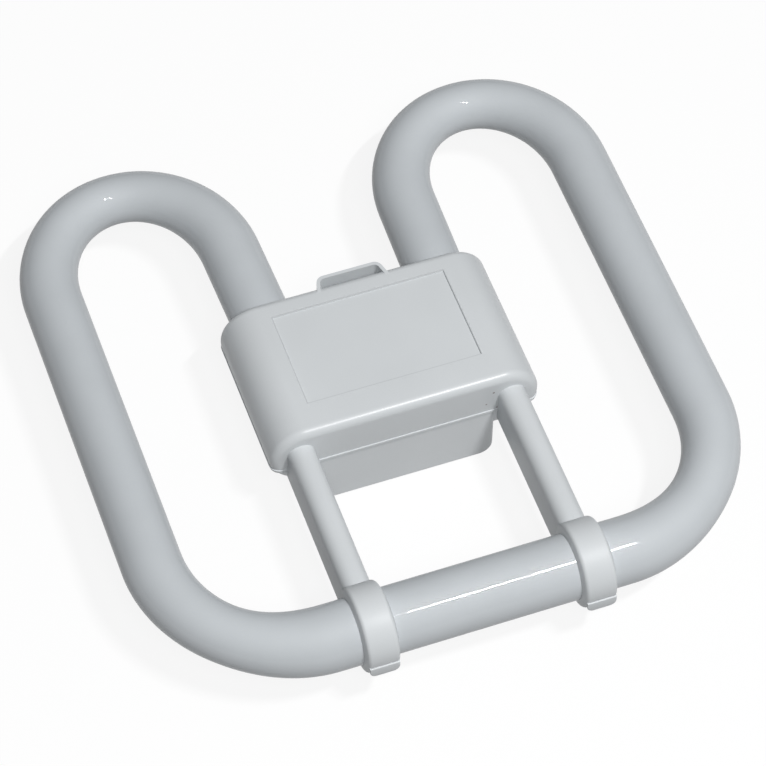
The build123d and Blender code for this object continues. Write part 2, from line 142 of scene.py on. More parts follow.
# Settings
class LampGlassSettings(bpy.types.PropertyGroup):
    run_diameter: length("Run diameter", "Thickness of the straight run", 0.0145)
    corner_diameter: length("Corner diameter", "Thickness in the middle of a corner", 0.0125)
    leg_diameter: length("Leg diameter", "Thickness of an outer leg", 0.0132)
    turn_diameter: length("Turn diameter", "Thickness at the top of a U-turn", 0.0113)
    inner_diameter: length("Inner leg diameter", "Thickness of an inner leg", 0.0135)
    corner_radius: length("Corner radius", "Bend radius of a corner", 0.0296)
    turn_rise: length("Turn rise", "Height of a U-turn above its foot", 0.0241)
    inner_spacing: length("Inner leg spacing", "Distance between the two inner legs at the turns", 0.0419)
    inner_lean: turning("Inner leg lean", "How far an inner leg leans in", 1.7)
    end_y: place_along("Glass end", "Where the glass ends in the cap", -0.0028)
    sides: IntProperty(name="Sides", description="Faces round the glass", default=72, min=12)
    tint: colour("Glass colour", "White of the coated glass", (0.565, 0.595, 0.618))


class LampCapSettings(bpy.types.PropertyGroup):
    width: length("Cap width", "Width of the cap's round-ended saddle", 0.0616)
    near_y: place_along("Near face", "Place of the near face", -0.01655)
    far_y: place_along("Far face", "Place of the far face", 0.02035)
    depth: length("Saddle depth", "Height of the saddle", 0.0169)
    wall: length("Cap wall", "Thickness of the cap's wall", 0.0014)
    edge_radius: length("Edge radius", "Rounding of the near and far edges", 0.002)
    parting_drop: length("Parting drop", "How far the joint lies below the axis of the glass", 0.0028)
    panel_width: length("Panel width", "Width of the shallow panel", 0.0398)
    panel_length: length("Panel length", "Length of the shallow panel", 0.0242)
    panel_y: place_along("Panel place", "Middle of the panel", 0.0034)
    panel_depth: length("Panel depth", "Depth of the shallow panel", 0.00035)
    panel_slope: length("Panel slope", "Width of the sloping wall of the panel", 0.00022)
    bead_reach: length("Bead reach", "How far the rim bead stands out", 0.00024)
    bead_height: length("Bead height", "Height of the rim bead", 0.0008)
    sides: IntProperty(name="Sides", description="Faces round the ends of the saddle", default=96, min=16)
    tint: colour("Plastic colour", "White of the mouldings", (0.66, 0.685, 0.70))


class LampArmSettings(bpy.types.PropertyGroup):
    spacing: length("Arm spacing", "Distance between the two arms", 0.0482)
    width: length("Arm width", "Width of an arm", 0.0062)
    clip_width: length("Clip width", "Width of a clip", 0.0066)
    clip_flare: length("Clip flare", "How far a clip widens to each side down to the glass", 0.0006)
    top_rise: length("Arm rise", "Top of an arm above the axis of the glass", 0.0049)
    bottom_drop: length("Arm drop", "Bottom of an arm below the axis of the glass", 0.006)
    top_radius: length("Arm rounding", "Rounding of the top edges of an arm", 0.0028)
    clip_inner: length("Clip inner radius", "Inner radius of a clip", 0.00727)
    clip_outer: length("Clip outer radius", "Outer radius of a clip", COVER_HIGH[2] - AXIS_HEIGHT)
    clip_round: length("Clip rounding", "Rounding of the rims of a clip", 0.0006)
    clip_sweep: turning("Clip sweep", "How far a clip reaches round the glass", 256)
    lip_reach: length("Lip reach", "How far the lip stands proud of the clip's ring", 0.00025)
    lip_start: length("Lip start", "Top of the lip below the axis of the glass", 0.0012)
    lip_drop: length("Lip drop", "Bottom of the lip below the axis of the glass", 0.0041)
    lip_corner: length("Lip corner", "Rounding of the lower corners of the lip", 0.0015)
    groove_wall: length("Arm wall", "Wall left round the groove under an arm", 0.0015)
    strap_root: length("Strap root", "Width of the strap where it leaves the cap", 0.0168)
    strap_tip: length("Strap tip", "Width of the strap at its far side", 0.0144)
    strap_reach: length("Strap reach", "How far the strap stands off the cap", 0.0023)
    strap_wall: length("Strap thickness", "Thickness of the strap", 0.0008)
    strap_height: length("Strap height", "Height of the strap", 0.009)
    strap_corner: length("Strap corner", "Rounding of the strap's two corners", 0.0014)


class LampStageSettings(bpy.types.PropertyGroup):
    azimuth: turning("Camera azimuth", "Angle round the lamp", -20.294)
    elevation: turning("Camera elevation", "Angle above the floor", 54.398)
    roll: turning("Camera roll", "Turn about the line of sight", -0.855)
    place: point("Camera place", "Where the camera stands", (-0.15317, -0.41545, 0.63186))
    lens: FloatProperty(name="Lens", description="Focal length in millimetres", default=162.71)
    aim: point("Light aim", "Where both lights point", (0, 0, 0.02))
    key_place: point("Soft light place", "Where the soft light hangs", (-0.12, -0.68, 1.0))
    key_side: length("Soft light side", "Side of the square soft light", 0.3)
    key_power: number("Soft light power", "Power of the soft light", 4.2)
    tube_place: point("Narrow light place", "Where the narrow light hangs", (0.295, -0.45, 1.10))
    tube_length: length("Narrow light length", "Long side of the narrow light", 0.2)
    tube_width: length("Narrow light width", "Short side of the narrow light", 0.02)
    tube_power: number("Narrow light power", "Power of the narrow light", 9.2)
    sky_tint: colour("Sky colour", "Colour of the light from all round", (0.94, 0.97, 1))
    sky_strength: number("Sky strength", "Strength of the light from all round", 0.13)
    floor_reach: length("Floor reach", "How far the floor reaches to each side", 3)
    floor_tint: colour("Floor colour", "Colour with which the floor lights the lamp", (0.28, 0.28, 0.28))
    shown_tint: colour("Shown floor", "Colour of the floor in the picture", (0.98, 0.98, 0.98))
    floor_glow: share("Floor glow", "How much of the floor's white is its own", 0.88)


# Shader maths
class Value:
    """The output of a node, which can be used in sums."""

    def __init__(self, paint, socket):
        self.paint = paint
        self.socket = socket

    def maths(self, operation, first, second):
        """The result of a Math node on two values or numbers."""
        return self.paint.node("ShaderNodeMath", {"operation": operation}, {0: first, 1: second})

    def __add__(self, other):
        return self.maths("ADD", self, other)

    def __radd__(self, other):
        return self.maths("ADD", other, self)

    def __sub__(self, other):
        return self.maths("SUBTRACT", self, other)

    def __rsub__(self, other):
        return self.maths("SUBTRACT", other, self)

    def __mul__(self, other):
        return self.maths("MULTIPLY", self, other)

    def __rmul__(self, other):
        return self.maths("MULTIPLY", other, self)

    def __abs__(self):
        return self.maths("ABSOLUTE", self, 0)

    def or_more(self, other):
        """The larger of two numbers."""
        return self.maths("MAXIMUM", self, other)


class Paint:
    """One material and the nodes that give it its finish."""

    def __init__(self, name):
        self.material = bpy.data.materials.new(name)
        self.material.use_nodes = True
        self.tree = self.material.node_tree
        self.shader = self.tree.nodes["Principled BSDF"]

    def node(self, kind, settings=None, inputs=None, output=0):
        """Add a node, set it up, feed its inputs and return one of its outputs."""
        made = self.tree.nodes.new(kind)
        settings = dict(settings or {})
        stops = settings.pop("stops", None)
        for key, setting in settings.items():
            setattr(made, key, setting)
        if stops:
            ramp = made.color_ramp
            while len(ramp.elements) < len(stops):
                ramp.elements.new(0.5)
            for element, (place, level) in zip(ramp.elements, stops):
                element.position = place
                element.color = (level, level, level, 1)
        for key, given in (inputs or {}).items():
            self.feed(made.inputs[key], given)
        return Value(self, made.outputs[output])

    def feed(self, socket, given):
        """Link a value to a socket, or write a number or a colour on it."""
        if isinstance(given, Value):
            self.tree.links.new(given.socket, socket)
        else:
            socket.default_value = given

    def finish(self, **inputs):
        """Feed the shader and return the material."""
        for key, given in inputs.items():
            self.feed(self.shader.inputs[key.replace("_", " ")], given)
        return self.material

    def place(self):
        """Where a point lies on the piece, in metres."""
        return self.node("ShaderNodeTexCoord", output="Object")

    def noise(self, scale, detail=2.0, roughness=0.5):
        """A soft noise from nothing to one over the piece."""
        inputs = {"Vector": self.place(), "Scale": scale, "Detail": detail, "Roughness": roughness}
        return self.node("ShaderNodeTexNoise", {}, inputs, "Fac")

    def along(self, axis):
        """Where a point lies along X, Y or Z, in metres."""
        return self.node("ShaderNodeSeparateXYZ", {}, {"Vector": self.place()}, axis)

    def fade(self, value, full, gone):
        """One where a value is at its full reach, nothing where it is gone."""
        inputs = {"Value": value, "From Min": full, "From Max": gone, "To Min": 1.0, "To Max": 0.0}
        return self.node("ShaderNodeMapRange", {"interpolation_type": "SMOOTHSTEP"}, inputs, "Result")

    def spot(self, centre, radius):
        """One inside a small spot round a point, nothing outside it."""
        inputs = {0: self.place(), 1: centre}
        distance = self.node("ShaderNodeVectorMath", {"operation": "DISTANCE"}, inputs, "Value")
        return self.fade(distance, full=radius / 2, gone=radius)

    def ramp(self, value, stops):
        """A value passed through grey stops."""
        return self.node("ShaderNodeValToRGB", {"stops": stops}, {"Fac": value})

    def blend(self, amount, first, second):
        """A colour between two colours."""
        inputs = dict(zip(MIX_INPUTS, (amount, first, second)))
        return self.node("ShaderNodeMix", {"data_type": "RGBA"}, inputs, MIX_RESULT)

    def bump(self, height, strength, distance):
        """A small relief from a height."""
        inputs = {"Height": height, "Strength": strength, "Distance": distance}
        return self.node("ShaderNodeBump", {}, inputs)


# Finishes
def shaded(tint, factor):
    """A colour made lighter or darker."""
    return (*[min(1, part * factor) for part in tint], 1)


def coated_glass(tint):
    """Clear glass over a white powder coating: even, glossy, with a faint cloudiness."""
    paint = Paint("coated_glass")
    clouds = paint.noise(scale=60, detail=3.0, roughness=0.55)
    grain = paint.noise(scale=2600)
    ripple = paint.noise(scale=110, detail=1.0)
    tone = paint.ramp(clouds * 0.8 + grain * 0.2, DRAWN_OUT)
    darker, lighter = shaded(tint, 0.965), shaded(tint, 1.025)
    return paint.finish(
        Base_Color=paint.blend(tone, darker, lighter),
        Roughness=0.58 + clouds * 0.08,
        IOR=1.5,
        Coat_Weight=0.4,
        Coat_Roughness=0.03,
        Normal=paint.bump(ripple, strength=0.1, distance=0.0004),
    )


def moulded_plastic(name, tint, roughness=0.28, marks=None):
    """White moulded plastic with a fine spark-eroded skin, and marks where it has them, such as the cover's
    painted shade and specks.
    """
    paint = Paint(name)
    skin = paint.noise(scale=3800, roughness=0.6)
    flow = paint.noise(scale=45, detail=3.0)
    tone = paint.ramp(flow * 0.7 + skin * 0.3, DRAWN_OUT)
    darker, lighter = shaded(tint, 0.965), shaded(tint, 1.02)
    shown = paint.blend(tone, darker, lighter)
    if marks:
        shown = marks(paint, shown)
    return paint.finish(
        Base_Color=shown,
        Roughness=skin * 0.12 + roughness,
        IOR=1.5,
        Normal=paint.bump(skin, strength=0.15, distance=0.00006),
    )


def cover_shade_and_specks(cap):
    """The painted shade along the sunk edge of the panel, and the dark specks on the near face."""

    def marks(paint, plain):
        # Painted shade: a darker line along the panel's sunk edge, where its step would lie in shade
        past_side = abs(paint.along("X")) - cap.panel_width / 2
        past_end = abs(paint.along("Y") - cap.panel_y) - cap.panel_length / 2
        edge = paint.fade(abs(past_side.or_more(past_end)), full=PANEL_SHADE_CORE, gone=PANEL_SHADE_REACH)
        with_panel_shade = paint.blend(edge * PANEL_SHADE_STRENGTH, plain, shaded(cap.tint, PANEL_SHADE_FACTOR))
        specks = sum(paint.spot((x, cap.near_y, z), radius) for x, z, radius in SPECKS)
        return paint.blend(specks * SPECK_STRENGTH, with_panel_shade, SPECK_COLOUR)

    return marks


def plain_metal(name, dark, light, roughness, scale):
    """Drawn or turned metal with fine marks."""
    paint = Paint(name)
    marks = paint.noise(scale, detail=3.0, roughness=0.6)
    return paint.finish(
        Base_Color=paint.blend(marks, dark, light),
        Metallic=1.0,
        Roughness=roughness + marks * 0.15,
        Normal=paint.bump(marks, strength=0.15, distance=0.00005),
    )


def turned_brass():
    """The brass of the contact pins."""
    return plain_metal(
        "turned_brass", dark=(0.50, 0.34, 0.12, 1), light=(0.68, 0.50, 0.22, 1), roughness=0.25, scale=900
    )


def nickel_wire():
    """The nickel of the leads."""
    return plain_metal(
        "nickel_wire", dark=(0.38, 0.37, 0.35, 1), light=(0.55, 0.54, 0.51, 1), roughness=0.3, scale=1500
    )


def tinned_sleeve():
    """The tinned metal of the crimps."""
    return plain_metal(
        "tinned_sleeve", dark=(0.42, 0.42, 0.41, 1), light=(0.62, 0.62, 0.60, 1), roughness=0.35, scale=1200
    )


def set_cement():
    """Grey-white set cement with a sandy skin."""
    paint = Paint("set_cement")
    sand = paint.noise(scale=3000, detail=4.0, roughness=0.7)
    dark, light = (0.50, 0.48, 0.43, 1), (0.72, 0.70, 0.64, 1)
    return paint.finish(
        Base_Color=paint.blend(sand, dark, light),
        Roughness=0.85,
        Normal=paint.bump(sand, strength=0.5, distance=0.0002),
    )


def starter_glass():
    """The thin grey glass of the starter bulb."""
    paint = Paint("starter_glass")
    haze = paint.noise(scale=300)
    dark, light = (0.42, 0.44, 0.45, 1), (0.62, 0.64, 0.64, 1)
    return paint.finish(
        Base_Color=paint.blend(haze, dark, light),
        Roughness=0.08 + haze * 0.06,
        Coat_Weight=1.0,
        Coat_Roughness=0.03,
    )


def dipped_coating():
    """The thick yellow-brown coating of the capacitor."""
    paint = Paint("dipped_coating")
    pools = paint.noise(scale=350)
    dark, light = (0.45, 0.22, 0.03, 1), (0.60, 0.33, 0.06, 1)
    return paint.finish(
        Base_Color=paint.blend(pools, dark, light),
        Roughness=0.25 + pools * 0.1,
        Normal=paint.bump(pools, strength=0.3, distance=0.0002),
    )


# Shapes
def block(shape, low, high):
    """Add a box between two corners."""
    size = Vector(high) - Vector(low)
    middle = (Vector(high) + Vector(low)) / 2
    matrix = Matrix.Translation(middle) @ Matrix.Diagonal((*size, 1))
    bmesh.ops.create_cube(shape, size=1, matrix=matrix)


def everything(shape):
    """All the geometry of a shape."""
    return shape.verts[:] + shape.edges[:] + shape.faces[:]


def verts_among(parts):
    """The vertices among some geometry."""
    return [part for part in parts if isinstance(part, bmesh.types.BMVert)]


def edges_at(shape, axis, level):
    """The edges that lie in a plane across an axis."""
    in_plane = {vert for vert in shape.verts if abs(vert.co[axis] - level) < ON_PLANE}
    return [edge for edge in shape.edges if in_plane.issuperset(edge.verts)]


def edges_along(shape, axis):
    """The edges that run along an axis."""
    found = []
    for edge in shape.edges:
        line = edge.verts[1].co - edge.verts[0].co
        if abs(abs(line[axis]) - line.length) < WELD:
            found.append(edge)
    return found


def span(face, axis):
    """How far a face reaches along an axis."""
    places = [vert.co[axis] for vert in face.verts]
    return max(places) - min(places)


def height_of(face):
    """The height of the middle of a face, to a thousandth of a millimetre."""
    return round(face.calc_center_median().z, 6)


def round_off(shape, parts, radius, segments, affect="EDGES"):
    """Round edges or corners off with a true arc."""
    bmesh.ops.bevel(
        shape, geom=parts, offset=radius, offset_type="OFFSET", segments=segments,
        profile=0.5, affect=affect, clamp_overlap=True, material=-1,
    )


def close_holes(shape):
    """Close each open loop with a face."""
    bmesh.ops.holes_fill(shape, edges=[edge for edge in shape.edges if edge.is_boundary])


def cut_flat(shape, height, keep_above):
    """Cut a shape at a height and keep one side, left open."""
    bmesh.ops.bisect_plane(
        shape, geom=everything(shape), dist=WELD, plane_co=(0, 0, height), plane_no=(0, 0, 1),
        clear_inner=keep_above, clear_outer=not keep_above,
    )


def thicken(shape, wall):
    """Give an open skin a wall on its inner side."""
    bmesh.ops.recalc_face_normals(shape, faces=shape.faces[:])
    bmesh.ops.solidify(shape, geom=shape.faces[:], thickness=wall)


def into(shape, addition):
    """Put one shape's mesh into another."""
    mesh = bpy.data.meshes.new("addition")
    addition.to_mesh(mesh)
    addition.free()
    shape.from_mesh(mesh)
    bpy.data.meshes.remove(mesh)


def make_piece(name, shape, material, nodes, sharp=35):
    """Turn a shape into a finished object of the lamp, in the place of CAD nodes."""
    bmesh.ops.remove_doubles(shape, verts=shape.verts[:], dist=WELD)
    bmesh.ops.recalc_face_normals(shape, faces=shape.faces[:])
    mesh = bpy.data.meshes.new(name)
    shape.to_mesh(mesh)
    shape.free()
    mesh.shade_smooth()
    mesh.set_sharp_from_angle(angle=radians(sharp))
    mesh.materials.append(material)
    piece = bpy.data.objects.new(name, mesh)
    bpy.context.scene.collection.objects.link(piece)
    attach(piece, "root")
    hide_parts(*nodes)


def repaint(node, material):
    """Give a CAD node a material of its own."""
    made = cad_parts[node]
    made.data.materials.clear()
    made.data.materials.append(material)


# The glass
def eased(start, end, part):
    """A value between two, leaving and reaching them smoothly."""
    return start + (end - start) * part * part * (3 - 2 * part)


def through(start, middle, end, part):
    """A value that goes smoothly from start through middle to end."""
    if part < 0.5:
        return eased(start, middle, 2 * part)
    return eased(middle, end, 2 * part - 1)


def ring_at(x, y, way, diameter):
    """The matrix that puts a unit circle round the glass, square to its way."""
    way = Vector((*way, 0)).normalized()
    up = Vector((0, 0, 1))
    side = up.cross(way)
    turn = Matrix((up, side, way)).transposed().to_4x4()
    radius = diameter / 2
    return Matrix.Translation((x, y, AXIS_HEIGHT)) @ turn @ Matrix.Diagonal((radius, radius, radius, 1))


def glass_rings(glass):
    """The rings of the right-hand half of the glass, from the run to the sealed tip."""
    leg_x = GLASS_HIGH[0] - glass.leg_diameter / 2
    run_y = GLASS_LOW[1] + glass.run_diameter / 2
    top_y = GLASS_HIGH[1] - glass.turn_diameter / 2
    foot_y = top_y - glass.turn_rise
    half = (leg_x - glass.inner_spacing / 2) / 2
    middle_x = leg_x - half
    bend_x, bend_y = leg_x - glass.corner_radius, run_y + glass.corner_radius
    rings = []

    # The run, the corner and the outer leg
    for step in range(RUN_RINGS):
        rings.append(ring_at(bend_x * step / RUN_RINGS, run_y, (1, 0), glass.run_diameter))
    for step in range(CORNER_RINGS + 1):
        part = step / CORNER_RINGS
        angle = part * pi / 2
        x = bend_x + glass.corner_radius * sin(angle)
        y = bend_y - glass.corner_radius * cos(angle)
        diameter = through(glass.run_diameter, glass.corner_diameter, glass.leg_diameter, part)
        rings.append(ring_at(x, y, (cos(angle), sin(angle)), diameter))
    for step in range(1, LEG_RINGS):
        y = bend_y + (foot_y - bend_y) * step / LEG_RINGS
        rings.append(ring_at(leg_x, y, (0, 1), glass.leg_diameter))

    # The U-turn, which ends where it has the lean of the inner leg
    end_angle = pi - atan(glass.turn_rise / half * tan(glass.inner_lean))
    for step in range(TURN_RINGS + 1):
        part = step / TURN_RINGS
        angle = part * end_angle
        x = middle_x + half * cos(angle)
        y = foot_y + glass.turn_rise * sin(angle)
        diameter = through(glass.leg_diameter, glass.turn_diameter, glass.inner_diameter, part)
        rings.append(ring_at(x, y, (-half * sin(angle), glass.turn_rise * cos(angle)), diameter))

    # The inner leg and its round tip
    start_x, start_y = x, y
    lean_way = (-sin(glass.inner_lean), -cos(glass.inner_lean))
    inner_run = (start_y - glass.end_y) / cos(glass.inner_lean)

    def inner_ring(along, diameter):
        return ring_at(start_x + lean_way[0] * along, start_y + lean_way[1] * along, lean_way, diameter)

    for step in range(1, INNER_RINGS + 1):
        rings.append(inner_ring(inner_run * step / INNER_RINGS, glass.inner_diameter))
    radius = glass.inner_diameter / 2
    for step in range(1, TIP_RINGS):
        angle = step / TIP_RINGS * TIP_SWEEP
        rings.append(inner_ring(inner_run + radius * sin(angle), 2 * radius * cos(angle)))
    return rings


class LAMP_OT_glass(bpy.types.Operator):
    """Build the bent glass tube"""

    bl_idname = "lamp.glass"
    bl_label = "Glass tube"

    def execute(self, context):
        glass = context.scene.lamp_glass
        rings = glass_rings(glass)
        shape = bmesh.new()
        bmesh.ops.create_circle(shape, segments=glass.sides, radius=1, matrix=rings[0])
        edges = shape.edges[:]
        for last, following in zip(rings, rings[1:]):
            grown = bmesh.ops.extrude_edge_only(shape, edges=edges)["geom"]
            ring = set(verts_among(grown))
            drawn = [part for part in grown if isinstance(part, bmesh.types.BMEdge)]
            edges = [edge for edge in drawn if ring.issuperset(edge.verts)]
            bmesh.ops.transform(shape, matrix=following @ last.inverted(), verts=list(ring))
        bmesh.ops.edgeloop_fill(shape, edges=edges)
        bmesh.ops.mirror(shape, geom=everything(shape), axis="X", merge_dist=ON_PLANE)
        make_piece("lamp_glass", shape, coated_glass(glass.tint), ["glass_tube"], sharp=50)
        return {"FINISHED"}


# The cap
def saddle(cap, outset):
    """The round-ended body of the cap, let out all round by an outset."""
    end_radius = cap.depth / 2 + outset
    spread = (cap.width - cap.depth) / 2
    near, far = cap.near_y - outset, cap.far_y + outset
    shape = bmesh.new()

    # Turned by half a step, so that no corner of the circle lies in the middle
    half_step = Matrix.Rotation(pi / cap.sides, 4, "Z")
    stand = Matrix.Translation((0, near, AXIS_HEIGHT)) @ Matrix.Rotation(pi / 2, 4, "X") @ half_step
    bmesh.ops.create_circle(shape, cap_ends=True, segments=cap.sides, radius=end_radius, matrix=stand)
    for side in (1, -1):
        end = [vert for vert in shape.verts if vert.co.x * side > 0]
        bmesh.ops.translate(shape, vec=(spread * side, 0, 0), verts=end)
    grown = bmesh.ops.extrude_face_region(shape, geom=shape.faces[:])["geom"]
    bmesh.ops.translate(shape, vec=(0, far - near, 0), verts=verts_among(grown))
    rims = edges_at(shape, 1, near) + edges_at(shape, 1, far)
    round_off(shape, rims, cap.edge_radius + outset, segments=8)
    return shape


def sink_panel(shape, cap):
    """Sink the shallow panel into the top of the cover."""
    top = max(shape.faces, key=lambda face: (height_of(face), face.calc_area()))

    # Any first inset does, because the face is then stretched to the panel's size
    first_inset = cap.edge_radius / 2
    bmesh.ops.inset_region(shape, faces=[top], thickness=first_inset)
    middle = top.calc_center_bounds()
    stretch = (cap.panel_width / span(top, 0), cap.panel_length / span(top, 1), 1)
    bmesh.ops.scale(shape, vec=stretch, space=Matrix.Translation(-middle), verts=top.verts[:])
    bmesh.ops.translate(shape, vec=(0, cap.panel_y - middle.y, 0), verts=top.verts[:])
    bmesh.ops.inset_region(shape, faces=[top], thickness=cap.panel_slope)
    bmesh.ops.translate(shape, vec=(0, 0, -cap.panel_depth), verts=top.verts[:])


def rim_bead(cap, parting):
    """The bead round the rim of the cover, half of it inside the wall."""
    shape = saddle(cap, cap.bead_reach)
    top = parting + cap.bead_height
    cut_flat(shape, parting, keep_above=True)
    cut_flat(shape, top, keep_above=False)
    upper = edges_at(shape, 2, top)
    thicken(shape, cap.bead_reach * 2)
    round_off(shape, [edge for edge in upper if edge.is_valid], cap.bead_reach * STEP_ROUND, segments=4)
    return shape


class LAMP_OT_cover(bpy.types.Operator):
    """Build the upper moulding of the cap with its panel and bead"""

    bl_idname = "lamp.cover"
    bl_label = "Cap cover"

    def execute(self, context):
        cap = context.scene.lamp_cap
        parting = AXIS_HEIGHT - cap.parting_drop
        shape = saddle(cap, outset=0)
        cut_flat(shape, parting, keep_above=True)
        thicken(shape, cap.wall)
        sink_panel(shape, cap)
        into(shape, rim_bead(cap, parting))
        material = moulded_plastic("cover_plastic", cap.tint, marks=cover_shade_and_specks(cap))
        make_piece("cap_cover_body", shape, material, ["cap_cover"])
        return {"FINISHED"}


class LAMP_OT_base(bpy.types.Operator):
    """Give the lower moulding of the cap its plastic"""

    bl_idname = "lamp.base"
    bl_label = "Cap base"

    def execute(self, context):
        pale = shaded(context.scene.lamp_cap.tint, BASE_PALENESS)[:3]
        repaint("cap_base", moulded_plastic("base_plastic", pale))
        return {"FINISHED"}


# Arms, clips and strap
def clip_band(arm, x, y):
    """The band that goes over the run, spun from its rounded section."""
    shape = bmesh.new()
    half = arm.clip_width / 2
    foot = half + arm.clip_flare
    inner, outer = y + arm.clip_inner, y + arm.clip_outer
    corners = [(x - foot, inner), (x + foot, inner), (x + half, outer), (x - half, outer)]
    verts = [shape.verts.new((*corner, AXIS_HEIGHT)) for corner in corners]
    shape.faces.new(verts)
    round_off(shape, verts[2:], arm.clip_round, segments=5, affect="VERTICES")
    bmesh.ops.spin(
        shape, geom=everything(shape), cent=(x, y, AXIS_HEIGHT), axis=(1, 0, 0),
        angle=arm.clip_sweep, steps=72, use_merge=False, use_duplicate=False,
    )
    close_holes(shape)
    return shape


def clip_lip(arm, x, y):
    """The straight lip at the front of the clip."""
    shape = bmesh.new()
    half = arm.clip_width / 2 - TINY
    front = y - arm.clip_outer - arm.lip_reach
    bottom = AXIS_HEIGHT - arm.lip_drop
    block(shape, (x - half, front, bottom), (x + half, y - arm.clip_inner, AXIS_HEIGHT - arm.lip_start))
    corners = [edge for edge in edges_along(shape, 1) if edge.verts[0].co.z < bottom + TINY]
    round_off(shape, corners, arm.lip_corner, segments=8)
    round_off(shape, edges_at(shape, 1, front), arm.lip_reach * STEP_ROUND, segments=3)
    return shape


def arm_bar(arm, cap, x, y):
    """The bar from the cap to the clip, with well rounded top edges and a groove below."""
    shape = bmesh.new()
    half = arm.width / 2 - TINY
    low = (x - half, y + arm.clip_inner + BAR_SETBACK, AXIS_HEIGHT - arm.bottom_drop)
    high = (x + half, cap.near_y + cap.edge_radius / 2, AXIS_HEIGHT + arm.top_rise)
    block(shape, low, high)
    upper = [edge for edge in edges_along(shape, 1) if edge.verts[0].co.z > AXIS_HEIGHT]
    round_off(shape, upper, arm.top_radius, segments=8)
    lower = [edge for edge in edges_along(shape, 1) if max(vert.co.z for vert in edge.verts) < AXIS_HEIGHT]
    round_off(shape, lower, arm.clip_round / 2, segments=3)
    sink_groove(shape, arm)
    return shape


def sink_groove(shape, arm):
    """Sink the groove into the underside of an arm."""
    bottom = min(shape.faces, key=lambda face: (height_of(face), -face.calc_area()))
    bmesh.ops.inset_region(shape, faces=[bottom], thickness=arm.groove_wall)
    deep = bmesh.ops.extrude_face_region(shape, geom=[bottom])["geom"]
    lift = arm.bottom_drop + arm.top_rise - arm.groove_wall
    bmesh.ops.translate(shape, vec=(0, 0, lift), verts=verts_among(deep))
    bmesh.ops.delete(shape, geom=[bottom], context="FACES_ONLY")


class LAMP_OT_arms(bpy.types.Operator):
    """Build the two arms with their clips"""

    bl_idname = "lamp.arms"
    bl_label = "Arms and clips"

    def execute(self, context):
        arm, cap = context.scene.lamp_arm, context.scene.lamp_cap
        y = GLASS_LOW[1] + context.scene.lamp_glass.run_diameter / 2
        material = moulded_plastic("arm_plastic", cap.tint, roughness=0.42)
        for side, x in (("right", arm.spacing / 2), ("left", -arm.spacing / 2)):
            shape = clip_band(arm, x, y)
            into(shape, clip_lip(arm, x, y))
            into(shape, arm_bar(arm, cap, x, y))
            make_piece(f"{side}_arm_and_clip", shape, material, ["cap_cover"])
        return {"FINISHED"}


class LAMP_OT_strap(bpy.types.Operator):
    """Build the strap on the far wall of the cap"""

    bl_idname = "lamp.strap"
    bl_label = "Strap"

    def execute(self, context):
        arm, cap = context.scene.lamp_arm, context.scene.lamp_cap
        root, tip = arm.strap_root / 2, arm.strap_tip / 2
        near, far = cap.far_y - cap.edge_radius, cap.far_y + arm.strap_reach
        bottom = AXIS_HEIGHT + cap.depth / 2 - arm.strap_height
        shape = bmesh.new()
        path = [(-root, near), (-tip, far), (tip, far), (root, near)]
        verts = [shape.verts.new((x, y, bottom)) for x, y in path]
        for pair in zip(verts, verts[1:]):
            shape.edges.new(pair)
        round_off(shape, verts[1:3], arm.strap_corner, segments=6, affect="VERTICES")
        grown = bmesh.ops.extrude_edge_only(shape, edges=shape.edges[:])["geom"]
        bmesh.ops.translate(shape, vec=(0, 0, arm.strap_height - TINY), verts=verts_among(grown))
        thicken(shape, arm.strap_wall)
        material = moulded_plastic("strap_plastic", cap.tint)
        make_piece("strap", shape, material, ["cap_cover"])
        return {"FINISHED"}


# The gear inside the cap
class LAMP_OT_gear(bpy.types.Operator):
    """Give the pins, wires and starting gear their finishes"""

    bl_idname = "lamp.gear"
    bl_label = "Pins and starting gear"

    def execute(self, context):
        brass, nickel, tin, cement = turned_brass(), nickel_wire(), tinned_sleeve(), set_cement()
        for side in ("right", "left"):
            repaint(f"{side}_contact_pin", brass)
            repaint(f"{side}_crimp", tin)
            repaint(f"{side}_starter_lead", nickel)
            repaint(f"{side}_pin_lead", nickel)
            repaint(f"{side}_cement", cement)
        repaint("starter_bulb", starter_glass())
        repaint("starter_capacitor", dipped_coating())
        return {"FINISHED"}


# The stage
def area_light(name, place, aim, size, power, mirrored=True):
    """A flat light that shines at a point, seen in glossy surfaces or not."""
    lamp = bpy.data.lights.new(name, "AREA")
    lamp.shape = "RECTANGLE"
    lamp.size, lamp.size_y = size
    lamp.energy = power
    made = bpy.data.objects.new(name, lamp)
    made.location = place
    made.visible_glossy = mirrored
    made.rotation_euler = (Vector(aim) - Vector(place)).to_track_quat("-Z", "Y").to_euler()
    bpy.context.scene.collection.objects.link(made)


